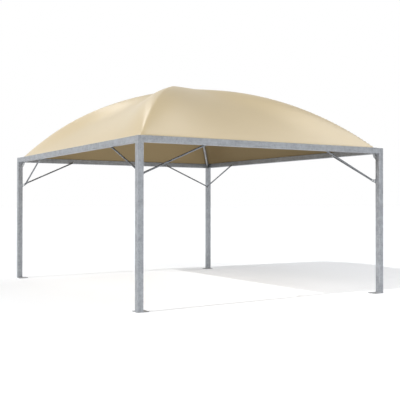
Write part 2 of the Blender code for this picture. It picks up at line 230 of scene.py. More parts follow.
class NodeSketch:
    """Adds nodes to one node tree and wires them up."""

    def __init__(self, tree: bpy.types.NodeTree) -> None:
        """Keep the tree that the nodes go into."""
        self.tree = tree

    def put(self, kind: str, wires: Wires | None = None, **settings: Any) -> bpy.types.Node:
        """Add a node.

        Args:
            kind: Blender's name of the node type.
            wires: for each input, by name or number, the socket that feeds it or its value.
            **settings: the node's own properties.

        Returns:
            The new node.
        """
        node = self.tree.nodes.new(kind)
        for key, value in settings.items():
            setattr(node, key, value)
        self.feed(node, wires or {})
        return node

    def feed(self, node: bpy.types.Node, wires: Wires) -> None:
        """Fill a node's inputs.

        Args:
            node: the node.
            wires: for each input, by name or number, the socket that feeds it or its value.
        """
        for key, value in wires.items():
            if isinstance(value, Socket):
                self.tree.links.new(value, node.inputs[key])
            else:
                node.inputs[key].default_value = value

    def maths(self, operation: str, first: Any, second: Any) -> Socket:
        """Add a maths node."""
        return self.put("ShaderNodeMath", {0: first, 1: second}, operation=operation).outputs[0]

    def times(self, first: Any, second: Any) -> Socket:
        """Multiply two values."""
        return self.maths("MULTIPLY", first, second)

    def plus(self, first: Any, second: Any) -> Socket:
        """Add two values up."""
        return self.maths("ADD", first, second)

    def noise(self, place: Socket, scale: float, octaves: float) -> Socket:
        """Add a noise pattern."""
        wires = {"Vector": place, "Scale": scale, "Detail": octaves}
        return self.put("ShaderNodeTexNoise", wires).outputs[0]

    def bump(self, height: Socket, distance: float, strength: float) -> Socket:
        """Turn a height into a bumped normal."""
        wires = {"Strength": strength, "Distance": distance, "Height": height}
        return self.put("ShaderNodeBump", wires).outputs[0]

    def ramp(self, value: Socket, stops: list[tuple[float, Colour]]) -> Socket:
        """Turn a value into a colour.

        Args:
            value: the socket that runs through the stops.
            stops: positions and their colours, lowest first.

        Returns:
            The colour socket.
        """
        node = self.put("ShaderNodeValToRGB", {0: value})
        elements = node.color_ramp.elements
        while len(elements) < len(stops):
            elements.new(1.0)
        for element, (position, colour) in zip(elements, stops):
            element.position = position
            element.color = (*colour, 1.0)
        return node.outputs[0]

    def stretch(self, value: Socket, ends: Span, span: Span = (0.0, 1.0)) -> Socket:
        """Turn one range of a value into another."""
        wires = {0: value, 1: span[0], 2: span[1], 3: ends[0], 4: ends[1]}
        return self.put("ShaderNodeMapRange", wires).outputs[0]


def tint(colour: Colour, factor: float) -> Colour:
    """Return a colour made lighter or darker."""
    return tuple(min(1.0, part * factor) for part in colour)


def fresh_material(name: str) -> tuple[Material, NodeSketch, bpy.types.Node]:
    """Return a new material, its sketch and its shader node.

    Args:
        name: name of the finish.

    Returns:
        The material, the sketch for its tree and its Principled node.
    """
    material = bpy.data.materials.new(name)
    material.use_nodes = True
    sketch = NodeSketch(material.node_tree)
    return material, sketch, material.node_tree.nodes["Principled BSDF"]


@dataclass(frozen=True)
class ZincFinish:
    """Hot-dip zinc: spangled, blotched grey with faint marks along the tube.

    Attributes:
        name: name of the finish.
        tone: middle colour of the zinc.
        contrast: how far the blotches leave that tone.
        spangle: size of a zinc crystal.
        blotch: size of the cloudy blotches.
        run: the way the piece lies.
        roughness: middle roughness.
        metallic: share of metal in the look, the rest is the dull oxide.
        bump: height of the grain.
    """

    name: str
    tone: Colour = (0.345, 0.363, 0.388)
    contrast: float = 0.24
    spangle: float = 0.014
    blotch: float = 0.045
    run: Run = Run.UPRIGHT
    roughness: float = 0.46
    metallic: float = 0.75
    bump: float = 0.0003

    def mark_scale(self) -> Triple:
        """Return the scale of the rolling marks, which are long the way the piece lies."""
        fine, long = ZINC_MARKS
        scales = {
            Run.UPRIGHT: (fine, fine, long),
            Run.ACROSS: (long, fine, fine),
            Run.ALONG: (fine, long, fine),
        }
        return scales[self.run]

    def make(self) -> Material:
        """Build the finish.

        Returns:
            The material.
        """
        material, sketch, shader = fresh_material(self.name)
        place = sketch.put("ShaderNodeTexCoord").outputs["Object"]
        crystal = sketch.put("ShaderNodeTexVoronoi", {"Vector": place, "Scale": 1 / self.spangle})
        grain = sketch.put("ShaderNodeRGBToBW", {0: crystal.outputs["Color"]}).outputs[0]
        parts = [(sketch.noise(place, scale / self.blotch, octaves), share)
                 for scale, octaves, share in ZINC_CLOUDS]
        mapped = sketch.put("ShaderNodeMapping", {"Vector": place, "Scale": self.mark_scale()})
        marks = sketch.noise(mapped.outputs[0], 1.0, ZINC_MARK_OCTAVES)
        parts.append((marks, ZINC_MARK_SHARE))
        mixed = sketch.times(grain, ZINC_GRAIN_SHARE)
        for part, share in parts:
            mixed = sketch.plus(mixed, sketch.times(part, share))
        tones = (tint(self.tone, 1 - self.contrast), self.tone, tint(self.tone, 1 + self.contrast))
        finest_cloud = parts[0][0]
        height = sketch.plus(sketch.times(grain, ZINC_GRAIN_RELIEF), finest_cloud)
        sketch.feed(shader, {
            "Metallic": self.metallic,
            "Base Color": sketch.ramp(mixed, list(zip(ZINC_RAMP, tones))),
            "Roughness": sketch.stretch(grain, (self.roughness - ZINC_ROUGH_SPREAD,
                                                self.roughness + ZINC_ROUGH_SPREAD)),
            "Normal": sketch.bump(height, self.bump, ZINC_BUMP_STRENGTH),
        })
        return material


@dataclass(frozen=True)
class FabricFinish:
    """Coated polyester: sand coloured, softly glossy, with a fine woven grain under the coat.

    Attributes:
        name: name of the finish.
        colour: colour of the coating.
        thread: spacing of the threads that show through the coat.
        roughness: roughness of the coating.
        gloss: how strongly it shines, 0.5 for plain plastic.
        coat: share of clear coat over it.
        coat_roughness: roughness of that coat.
        bump: height of the threads.
    """

    name: str
    colour: Colour = (0.605, 0.498, 0.318)
    thread: float = 0.0016
    roughness: float = 0.38
    gloss: float = 0.5
    coat: float = 0.27
    coat_roughness: float = 0.30
    bump: float = 0.00006

    def make(self) -> Material:
        """Build the finish.

        Returns:
            The material.
        """
        material, sketch, shader = fresh_material(self.name)
        place = sketch.put("ShaderNodeTexCoord").outputs["Object"]
        cloud, fleck = (sketch.noise(place, scale, octaves)
                        for scale, octaves, _ in FABRIC_PATTERNS)
        cloud_share, fleck_share = (share for _, _, share in FABRIC_PATTERNS)
        mixed = sketch.plus(sketch.times(cloud, cloud_share), sketch.times(fleck, fleck_share))
        tones = (tint(self.colour, 1 - FABRIC_SPREAD), tint(self.colour, 1 + FABRIC_SPREAD))
        sketch.feed(shader, {
            "Specular IOR Level": self.gloss,
            "Coat Weight": self.coat,
            "Coat Roughness": self.coat_roughness,
            "Base Color": sketch.ramp(mixed, list(zip(FABRIC_RAMP, tones))),
            "Roughness": sketch.stretch(cloud, (self.roughness - FABRIC_SPREAD,
                                                self.roughness + FABRIC_SPREAD)),
            "Normal": sketch.bump(self.weave(sketch, place), self.bump, FABRIC_BUMP_STRENGTH),
        })
        return material

    def weave(self, sketch: NodeSketch, place: Socket) -> Socket:
        """Add the plain weave as the product of two fine waves.

        Args:
            sketch: the tree to add to.
            place: coordinates.

        Returns:
            The weave's height.
        """
        wires = {"Vector": place, "Scale": WAVE_SCALE_FOR_ONE_METRE / self.thread}
        bands = [sketch.put("ShaderNodeTexWave", wires, bands_direction=way).outputs[1]
                 for way in ("X", "Y")]
        return sketch.times(*bands)


@dataclass(frozen=True)
class Finishes:
    """Every finish on the gazebo, made once."""

    post: Material
    beam_across: Material
    beam_along: Material
    plate: Material
    arch: Material
    brace: Material
    clamp: Material
    bolt: Material
    weld: Material
    fabric: Material
    # The membrane's underside: the coat's colour darkened, painted shade.
    shaded_underside: Material
    band: Material

    @classmethod
    def make(cls) -> "Finishes":
        """Build all materials.

        Returns:
            The set of finishes.
        """
        kinds = {
            "post": ZincFinish("zinc_post", run=Run.UPRIGHT),
            "beam_across": ZincFinish("zinc_beam_across", run=Run.ACROSS),
            "beam_along": ZincFinish("zinc_beam_along", run=Run.ALONG),
            "plate": ZincFinish("zinc_plate", tone=(0.42, 0.43, 0.44), blotch=0.030,
                                roughness=0.5),
            "arch": ZincFinish("zinc_arch", tone=(0.45, 0.46, 0.47), contrast=0.22),
            "brace": ZincFinish("zinc_brace", tone=(0.19, 0.199, 0.214), contrast=0.16,
                                blotch=0.035, roughness=0.30, metallic=0.95),
            "clamp": ZincFinish("zinc_clamp", tone=(0.50, 0.51, 0.52), contrast=0.16,
                                roughness=0.42),
            "bolt": ZincFinish("zinc_bolt", tone=(0.55, 0.56, 0.57), contrast=0.12,
                               spangle=0.003, blotch=0.008, roughness=0.32, metallic=0.8,
                               bump=0.0001),
            "weld": ZincFinish("zinc_weld", tone=(0.40, 0.41, 0.42), contrast=0.20,
                               spangle=0.004, blotch=0.012, roughness=0.44, bump=0.0002),
            "fabric": FabricFinish("coated_membrane"),
            # Underside colour: darker and more saturated than the coat, painted shade for the side
            # that faces down.
            "shaded_underside": FabricFinish("membrane_underside_painted_shade", colour=(0.515, 0.387, 0.208),
                                   roughness=0.8, gloss=0.15, coat=0.0),
            "band": FabricFinish("rub_band_fabric", colour=(0.50, 0.425, 0.295),
                                 roughness=0.5, coat=0.0),
        }
        return cls(**{part: kind.make() for part, kind in kinds.items()})


def finished_piece(name: str, mesh: bpy.types.Mesh,
                   replaced: tuple[str, ...] = ()) -> Piece:
    """Link a mesh as a piece that rides on the frame.

    Args:
        name: name of the piece.
        mesh: its mesh, with its place in its vertices.
        replaced: the solids that it stands for.

    Returns:
        The piece.
    """
    mesh.name = name
    piece = bpy.data.objects.new(name, mesh)
    bpy.context.scene.collection.objects.link(piece)
    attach(piece, BODY)
    if replaced:
        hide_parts(*replaced)
    LOG.info("%s: %d faces", name, len(mesh.polygons))
    return piece


def mesh_from(bm: bmesh.types.BMesh, name: str, material: Material,
              sharp_angle: float = 35.0) -> bpy.types.Mesh:
    """Turn a bmesh into a smooth mesh with sharp edges where its faces turn.

    Args:
        bm: the faces, which are freed.
        name: name of the mesh.
        material: its finish.
        sharp_angle: degrees above which an edge stays sharp.

    Returns:
        The mesh.
    """
    mesh = bpy.data.meshes.new(name)
    for face in bm.faces:
        face.smooth = True
    bm.to_mesh(mesh)
    bm.free()
    mesh.materials.append(material)
    mesh.set_sharp_from_angle(angle=math.radians(sharp_angle))
    return mesh


def loft(rings: list[list[Vector]], closed: bool = False) -> bmesh.types.BMesh:
    """Skin cross-sections of equal point count.

    Args:
        rings: the cross-sections in order.
        closed: whether the last one joins the first, instead of both being capped.

    Returns:
        The closed surface, its faces outwards.
    """
    bm = bmesh.new()
    rows = [[bm.verts.new(point) for point in ring] for ring in rings]
    following = rows[1:] + rows[:1] if closed else rows[1:]
    for row, after in zip(rows, following):
        for index, vert in enumerate(row):
            side = (index + 1) % len(row)
            bm.faces.new((vert, row[side], after[side], after[index]))
    if not closed:
        bm.faces.new(rows[0])
        bm.faces.new(rows[-1])
    bmesh.ops.recalc_face_normals(bm, faces=bm.faces)
    return bm


def skinned_piece(name: str, rings: list[list[Vector]], material: Material,
                  replaced: tuple[str, ...] = (), closed: bool = False) -> Piece:
    """Make a piece by skinning cross-sections.

    Args:
        name: name of the piece.
        rings: the cross-sections in order.
        material: its finish.
        replaced: the solids that it stands for.
        closed: whether the last cross-section joins the first.

    Returns:
        The piece.
    """
    return finished_piece(name, mesh_from(loft(rings, closed), name, material), replaced)


class GeometryRecipe:
    """A Geometry Nodes tree that turns marked points into realised shapes."""

    def __init__(self, name: str, sizes: dict[str, float], seed: int) -> None:
        """Open the tree and its named inputs.

        Args:
            name: name of the tree.
            sizes: name and value of each size input.
            seed: seed of anything random.
        """
        self.tree = bpy.data.node_groups.new(name, "GeometryNodeTree")
        self.sketch = NodeSketch(self.tree)
        self.values: dict[str, Any] = {}
        face = self.tree.interface
        face.new_socket(name="Geometry", in_out="OUTPUT", socket_type="NodeSocketGeometry")
        face.new_socket(name="Geometry", in_out="INPUT", socket_type="NodeSocketGeometry")
        for key, value in sizes.items():
            socket = face.new_socket(name=key, in_out="INPUT", socket_type="NodeSocketFloat")
            self.values[socket.identifier] = value
        socket = face.new_socket(name="Seed", in_out="INPUT", socket_type="NodeSocketInt")
        self.values[socket.identifier] = seed
        socket = face.new_socket(name="Finish", in_out="INPUT", socket_type="NodeSocketMaterial")
        self.finish_socket = socket.identifier
        self.given = self.sketch.put("NodeGroupInput").outputs

    def part(self, kind: str, up: Any, wires: Wires, **settings: Any) -> Socket:
        """Add a primitive shape, moved up along its own axis.

        Args:
            kind: Blender's name of the primitive's node.
            up: height of its middle, or of its base for a cone.
            wires: its sizes.
            **settings: its options.

        Returns:
            The moved shape.
        """
        shape = self.sketch.put(kind, wires, **settings).outputs[0]
        offset = self.sketch.put("ShaderNodeCombineXYZ", {"Z": up}).outputs[0]
        wires = {"Geometry": shape, "Translation": offset}
        return self.sketch.put("GeometryNodeTransform", wires).outputs[0]

    def washer(self, sides: int) -> Socket:
        """Add the washer that a head stands on, from the recipe's own washer sizes.

        Args:
            sides: points round it.

        Returns:
            The washer.
        """
        thick = self.given["Washer Thickness"]
        radius = self.sketch.times(self.given["Washer Width"], 0.5)
        return self.part("GeometryNodeMeshCylinder", self.sketch.times(thick, 0.5),
                         {"Vertices": sides, "Radius": radius, "Depth": thick})

    def cone(self, up: Socket, sides: int, base: Socket, taper: float, depth: Socket,
             top: Socket | None = None) -> Socket:
        """Add a cut-off cone.

        Args:
            up: height of its base.
            sides: points round it.
            base: radius at its base.
            taper: radius at its top, as a share of the base or of top.
            depth: its height.
            top: what the share is taken of, if not the base.

        Returns:
            The cone.
        """
        return self.part("GeometryNodeMeshCone", up, {
            "Vertices": sides, "Radius Bottom": base,
            "Radius Top": self.sketch.times(top or base, taper), "Depth": depth,
        })

    def join(self, shapes: list[Socket]) -> Socket:
        """Join shapes into one.

        Args:
            shapes: the shapes' sockets.

        Returns:
            The joined geometry.
        """
        node = self.sketch.put("GeometryNodeJoinGeometry")
        for shape in shapes:
            self.tree.links.new(shape, node.inputs[0])
        return node.outputs[0]

    def attribute(self, name: str) -> Socket:
        """Return a vector that each point carries."""
        kind = "GeometryNodeInputNamedAttribute"
        return self.sketch.put(kind, {0: name}, data_type="FLOAT_VECTOR").outputs[0]

    def turned(self, spin: float) -> Socket:
        """Return each point's turn: its own axis up, and a random spin about it.

        Args:
            spin: the largest spin in radians.

        Returns:
            The rotation socket.
        """
        align, put = "FunctionNodeAlignRotationToVector", self.sketch.put
        aligned = put(align, {"Vector": self.attribute("axis")}, axis="Z").outputs[0]
        wires = {"Rotation": aligned, "Vector": self.attribute("along")}
        sided = put(align, wires, axis="X", pivot_axis="Z").outputs[0]
        wires = {2: 0.0, 3: spin, "Seed": self.given["Seed"]}
        angle = put("FunctionNodeRandomValue", wires, data_type="FLOAT").outputs[1]
        euler = put("ShaderNodeCombineXYZ", {"Z": angle}).outputs[0]
        turn = put("FunctionNodeEulerToRotation", {0: euler}).outputs[0]
        wires = {"Rotation": sided, "Rotate By": turn}
        return put("FunctionNodeRotateRotation", wires, rotation_space="LOCAL").outputs[0]

    def finish(self, shape: Socket, spin: float = 0.0, scale: Any = (1.0, 1.0, 1.0)) -> None:
        """Put the shape on every point, realise it and set its material.

        Args:
            shape: the shape to repeat.
            spin: largest random spin about each point's axis.
            scale: scale of each shape, a vector or a socket.
        """
        put = self.sketch.put
        points = put("GeometryNodeMeshToPoints", {0: self.given["Geometry"]}).outputs[0]
        placed = put("GeometryNodeInstanceOnPoints", {
            "Points": points, "Instance": shape, "Rotation": self.turned(spin), "Scale": scale,
        }).outputs[0]
        real = put("GeometryNodeRealizeInstances", {0: placed}).outputs[0]
        wires = {"Geometry": real, "Material": self.given["Finish"]}
        put("NodeGroupOutput", {0: put("GeometryNodeSetMaterial", wires).outputs[0]})

    def grow(self, name: str, marks: list["Mark"], material: Material, slot: Slot,
             sharp_angle: float = 35.0) -> Piece:
        """Run the tree on marked points and keep the result as a plain piece.

        Args:
            name: name of the piece.
            marks: where each shape goes and how it stands.
            material: its finish.
            slot: not used.
            sharp_angle: degrees above which an edge stays sharp.

        Returns:
            The piece.
        """
        seeds = bpy.data.meshes.new(f"{name}_points")
        seeds.from_pydata([mark.place for mark in marks], [], [])
        for key in ("axis", "along"):
            data = seeds.attributes.new(key, "FLOAT_VECTOR", "POINT")
            for item, mark in zip(data.data, marks):
                item.vector = getattr(mark, key)
        carrier = bpy.data.objects.new(f"{name}_points", seeds)
        bpy.context.scene.collection.objects.link(carrier)
        modifier = carrier.modifiers.new("grow", "NODES")
        modifier.node_group = self.tree
        for identifier, value in self.values.items():
            modifier[identifier] = value
        modifier[self.finish_socket] = material
        graph = bpy.context.evaluated_depsgraph_get()
        mesh = bpy.data.meshes.new_from_object(carrier.evaluated_get(graph))
        carrier.modifiers.remove(modifier)
        bpy.data.objects.remove(carrier)
        for polygon in mesh.polygons:
            polygon.use_smooth = True
        mesh.set_sharp_from_angle(angle=math.radians(sharp_angle))
        return finished_piece(name, mesh)


@dataclass(frozen=True)
class Mark:
    """Where one repeated shape goes.

    Attributes:
        place: the point that its base stands on.
        axis: the way that it stands up.
        along: the way that its long side lies.
    """

    place: Vector
    axis: Vector
    along: Vector = Vector((1, 0, 0))


@dataclass
class MembraneForm:
    """The stretched sheet's surface over the opening between the beams.

    Between the arches the sheet lies near a stretched film, which sags below the straight
    vault. Beside each arch it is eased towards the ball on which both arches lie.

    Attributes:
        cells: grid cells from the middle to the edge.
        film_share: how far the sheet goes from the straight vault to the film.
        ease_share: how far it goes towards the ball beside an arch.
        ease_width: how far beside the arch that reaches.
        ease_fade: power with which it fades towards the edge.
        film_start: cells of the grid on which the film first settles.
        film_steps: rounds of settling on each grid.
    """

    cells: int = 64
    film_share: float = 0.80
    ease_share: float = 1.15
    ease_width: float = 0.33
    ease_fade: int = 4
    film_start: int = 8
    film_steps: int = 900
    heights: np.ndarray = field(init=False)

    def __post_init__(self) -> None:
        """Work the heights out once."""
        across, along = self.grid(self.cells)
        ring = np.maximum(abs(across), abs(along))
        vault = self.vault(ring)
        film = self.film()
        x, y = across * SIZES.half_x, along * SIZES.half_y
        ball = SIZES.arc_centre + np.sqrt(SIZES.ridge_radius ** 2 - x ** 2 - y ** 2)
        beside = abs(abs(x) * SIZES.half_y - abs(y) * SIZES.half_x) / SIZES.half_diagonal
        ease = self.ease_share * np.exp(-(beside / self.ease_width) ** 2)
        ease = ease * (1 - ring ** self.ease_fade)
        self.heights = vault + self.film_share * (film - vault) + ease * (ball - vault)

    @staticmethod
    def grid(cells: int) -> tuple[np.ndarray, np.ndarray]:
        """Return the grid's coordinates, from -1 to 1 both ways."""
        steps = np.linspace(-1.0, 1.0, 2 * cells + 1)
        return np.meshgrid(steps, steps, indexing="ij")

    @staticmethod
    def vault(ring: np.ndarray) -> np.ndarray:
        """Return the straight vault's heights."""
        distance = ring * SIZES.half_diagonal
        return SIZES.arc_centre + np.sqrt(SIZES.ridge_radius ** 2 - distance ** 2)

    def film(self) -> np.ndarray:
        """Relax a film held along the arches and the edge, from a coarse grid to the fine one.

        Returns:
            The film's heights on the fine grid.
        """
        cells = self.film_start
        heights = None
        while cells <= self.cells:
            across, along = self.grid(cells)
            vault = self.vault(np.maximum(abs(across), abs(along)))
            start = vault if heights is None else self.refined(heights)
            held = np.isclose(abs(across), abs(along))
            start[held] = vault[held]
            start[[0, -1], :] = SIZES.hem_top
            start[:, [0, -1]] = SIZES.hem_top
            heights = self.relaxed(start, held, self.film_steps)
            cells *= 2
        return heights

    @staticmethod
    def refined(coarse: np.ndarray) -> np.ndarray:
        """Return heights on a grid of twice the cells.

        Args:
            coarse: heights on the coarse grid.

        Returns:
            Heights half-way between neighbours filled in.
        """
        count = 2 * len(coarse) - 1
        fine = np.zeros((count, count))
        fine[::2, ::2] = coarse
        fine[1::2, ::2] = (coarse[1:] + coarse[:-1]) / 2
        fine[:, 1::2] = (fine[:, :-1:2] + fine[:, 2::2]) / 2
        return fine

    @staticmethod
    def relaxed(heights: np.ndarray, held: np.ndarray, steps: int) -> np.ndarray:
        """Let the free points settle between their neighbours.

        Args:
            heights: the heights to start from.
            held: where the film is held.
            steps: rounds of settling.

        Returns:
            The settled heights.
        """
        fixed = held[1:-1, 1:-1]
        pull_x, pull_y = SIZES.half_y ** 2, SIZES.half_x ** 2
        for _ in range(steps):
            mean_x = heights[2:, 1:-1] + heights[:-2, 1:-1]
            mean_y = heights[1:-1, 2:] + heights[1:-1, :-2]
            settled = (pull_x * mean_x + pull_y * mean_y) / (2 * (pull_x + pull_y))
            heights[1:-1, 1:-1] = np.where(fixed, heights[1:-1, 1:-1], settled)
        return heights

    def height(self, x: float, y: float) -> float:
        """Return the surface's height at one place.

        Args:
            x: across the frame.
            y: along the frame.

        Returns:
            The height of the sheet's outer face.
        """
        column = (x / SIZES.half_x + 1) * self.cells
        row = (y / SIZES.half_y + 1) * self.cells
        i, j = min(int(column), 2 * self.cells - 1), min(int(row), 2 * self.cells - 1)
        u, v = column - i, row - j
        corners = self.heights[i:i + 2, j:j + 2]
        return float(np.array([1 - u, u]) @ corners @ np.array([1 - v, v]))


@dataclass
class Membrane:
    """The stretched cover: sheet, hem strip and the rub bands over the arches.

    Attributes:
        form: the surface.
        thick: thickness of the coated fabric.
        cut: the sheet's size before it was stretched; not used.
        hem_lines: the grid lines in the hem, as shares of its width.
        strip_inset: how far the sealing strip keeps from the hem's two edges.
        strip_round: rounding of the strip's edges.
        band_half_width: half the rub band's width.
        band_flat: half the width in which its underside follows the tube.
        band_points: points across a band.
        band_stations: rings along a band.
        band_start: where a band begins, from the middle.
        band_end: where it ends, before the frame's inner corner.
    """

    form: MembraneForm = field(default_factory=MembraneForm)
    thick: float = 0.0012
    cut: Span = (4.45, 5.35)
    hem_lines: Triple = (0.08, 0.55, 1.0)
    strip_inset: Span = (0.002, 0.001)
    strip_round: float = 0.0008
    band_half_width: float = 0.032
    band_flat: float = 0.012
    band_points: int = 13
    band_stations: int = 90
    band_start: float = 0.20
    band_end: float = 0.20

    def build(self, finishes: Finishes) -> Piece:
        """Args:
            finishes: the materials.

        Returns:
            The sheet.
        """
        sheet = self.sheet(finishes)
        strip = self.hem_strip(finishes)
        bands = [self.rub_band(corner, finishes) for corner in CORNERS]
        return sheet

    def lines(self, half: float) -> np.ndarray:
        """Return the grid lines one way, with the hem's three at each edge.

        Args:
            half: half the clear opening.

        Returns:
            The lines' places.
        """
        steps = np.linspace(-half, half, 2 * self.form.cells + 1)
        outer = half + SIZES.hem_width * np.array(self.hem_lines)
        return np.concatenate((-outer[::-1], steps, outer))

    def surface(self) -> tuple[np.ndarray, np.ndarray, np.ndarray]:
        """Return the grid with its hem.

        Returns:
            Its lines across and along, and the heights where they cross.
        """
        hem = len(self.hem_lines)
        heights = np.pad(self.form.heights, hem, constant_values=SIZES.hem_top)
        return self.lines(SIZES.half_x), self.lines(SIZES.half_y), heights

    def sheet(self, finishes: Finishes) -> Piece:
        """Make the sheet itself, one surface from hem to hem.

        Args:
            finishes: the materials.

        Returns:
            The sheet.
        """
        lines_x, lines_y, heights = self.surface()
        segments = len(lines_x) - 1
        bm = bmesh.new()
        bmesh.ops.create_grid(bm, x_segments=segments, y_segments=segments, size=1.0)
        for vert in bm.verts:
            column = round((vert.co.x + 1) / 2 * segments)
            row = round((vert.co.y + 1) / 2 * segments)
            vert.co = (lines_x[column], lines_y[row], heights[column, row])
        mesh = mesh_from(bm, "membrane_sheet", finishes.fabric, NO_SHARP_EDGES)
        # Second material, on the sheet's inner wall: the darkened underside, painted shade.
        mesh.materials.append(finishes.shaded_underside)
        piece = finished_piece("membrane_sheet", mesh, ("membrane",))
        wall = piece.modifiers.new("sheet_thickness", "SOLIDIFY")
        wall.thickness = self.thick
        wall.offset = -1.0
        wall.material_offset = 1
        return piece

    def hem_strip(self, finishes: Finishes) -> Piece:
        """Make the sealing strip between the hem and the beams, one frame round the opening.

        Args:
            finishes: the materials.

        Returns:
            The strip.
        """
        low = SIZES.beam_top + SIZES.gap
        high = SIZES.hem_top - self.thick - SIZES.gap
        inner, outer = self.strip_inset[0], SIZES.hem_width - self.strip_inset[1]
        rounding = self.strip_round
        section = [
            (inner + rounding, low), (outer - rounding, low), (outer, low + rounding),
            (outer, high - rounding), (outer - rounding, high), (inner + rounding, high),
            (inner, high - rounding), (inner, low + rounding),
        ]
        rings = [[Vector((side_x * (SIZES.half_x + out), side_y * (SIZES.half_y + out), height))
                  for out, height in section]
                 for side_x, side_y in ((-1, -1), (1, -1), (1, 1), (-1, 1))]
        return skinned_piece("hem_strip", rings, finishes.band, closed=True)

    def rub_band(self, corner: Corner, finishes: Finishes) -> Piece:
        """Make the padded band on which the sheet rests along one arch.

        Args:
            corner: the corner that the arch runs to.
            finishes: the materials.

        Returns:
            The band.
        """
        outwards = -SIZES.inwards(corner)
        sideways = sideways_of(outwards)
        offsets = np.linspace(-1, 1, self.band_points) * self.band_half_width
        end = SIZES.half_diagonal - self.band_end
        rings = []
        for distance in np.linspace(self.band_start, end, self.band_stations):
            top, bottom = [], []
            for offset in offsets:
                plan = outwards * distance + sideways * offset
                high = self.form.height(plan.x, plan.y) - self.thick - SIZES.gap
                low = self.band_underside(distance, offset, high)
                top.append(Vector((plan.x, plan.y, high)))
                bottom.append(Vector((plan.x, plan.y, low)))
            rings.append(top + bottom[::-1])
        return skinned_piece(f"rub_band_{corner.name}", rings, finishes.band)

    def band_underside(self, distance: float, offset: float, high: float) -> float:
        """Return the height of a rub band's underside, which cradles the tube.

        Args:
            distance: how far from the middle.
            offset: how far beside the arch.
            high: height of the band's upper face there.

        Returns:
            The height.
        """
        rise = math.sqrt(SIZES.arch_radius ** 2 - min(abs(offset), self.band_flat) ** 2)
        reach = SIZES.arch_axis_radius + rise + 2 * SIZES.gap
        cradle = SIZES.arc_centre + math.sqrt(reach ** 2 - distance ** 2)
        beyond = max(0.0, abs(offset) - self.band_flat)
        ease = eased(beyond / (self.band_half_width - self.band_flat))
        edge = high - self.thick
        return min(cradle + (edge - cradle) * ease, edge)


@dataclass
class Arches:
    """The four round half-arches and the collars that join them to the crown.

    Attributes:
        sides: points round a tube.
        stations: rings along a half-arch.
        collar_half: half a collar's length.
        collar_wall: a collar's thickness.
        bolt_from_joint: how far the collar's bolts sit from the joint.
        bolt_sink: how far their washers sink into the round collar.
    """

    sides: int = 32
    stations: int = 72
    collar_half: float = 0.035
    collar_wall: float = 0.003
    bolt_from_joint: float = 0.018
    bolt_sink: float = 0.0005

    def build(self, finishes: Finishes) -> None:
        """Make the tubes and collars.

        Args:
            finishes: the materials.
        """
        start = SIZES.crown_reach + SIZES.crown_end_gap
        end = SIZES.half_diagonal - SIZES.arch_foot_clearance
        for corner in CORNERS:
            rings = [self.ring(corner, distance, SIZES.arch_radius)
                     for distance in np.linspace(start, end, self.stations)]
            skinned_piece(f"arch_tube_{corner.name}", rings, finishes.arch,
                          (f"half_arch_{corner.name}",))
            self.collar(corner, finishes)

    def ring(self, corner: Corner, distance: float, radius: float) -> list[Vector]:
        """Return one cross-section of a tube.

        Args:
            corner: the corner that the arch runs to.
            distance: how far from the middle.
            radius: radius of the section.

        Returns:
            Points round the tube.
        """
        centre = SIZES.on_arch(corner, distance, SIZES.arch_axis_radius)
        outwards = -SIZES.inwards(corner)
        lean = math.asin(distance / SIZES.arch_axis_radius)
        radial = outwards * math.sin(lean) + Vector((0, 0, math.cos(lean)))
        sideways = sideways_of(outwards)
        turns = [2 * math.pi * (step + 0.5) / self.sides for step in range(self.sides)]
        return [centre + radial * (radius * math.cos(turn)) + sideways * (radius * math.sin(turn))
                for turn in turns]

    def collar(self, corner: Corner, finishes: Finishes) -> None:
        """Make the collar over the joint between the crown and a half-arch.

        Args:
            corner: the corner that the arch runs to.
            finishes: the materials.
        """
        joint = SIZES.crown_reach
        bore = SIZES.arch_radius + 2 * SIZES.gap
        outer = bore + self.collar_wall
        edge = self.collar_wall / 3
        half = self.collar_half
        profile = [
            (-half, bore), (-half, outer - edge), (-half + edge, outer),
            (half - edge, outer), (half, outer - edge), (half, bore),
        ]
        rings = [self.ring(corner, joint + shift, radius) for shift, radius in profile]
        skinned_piece(f"collar_{corner.name}", rings, finishes.clamp, closed=True)

    def bolt_marks(self) -> list[Mark]:
        """Return where the collar bolts go: two each side of each joint.

        Returns:
            The marks.
        """
        marks = []
        seat = SIZES.arch_radius + 2 * SIZES.gap + self.collar_wall - self.bolt_sink
        for corner in CORNERS:
            outwards = -SIZES.inwards(corner)
            sideways = sideways_of(outwards)
            for shift in (-self.bolt_from_joint, self.bolt_from_joint):
                distance = SIZES.crown_reach + shift
                centre = SIZES.on_arch(corner, distance, SIZES.arch_axis_radius)
                marks += [Mark(centre + sideways * (side * seat), sideways * side, outwards)
                          for side in (-1, 1)]
        return marks


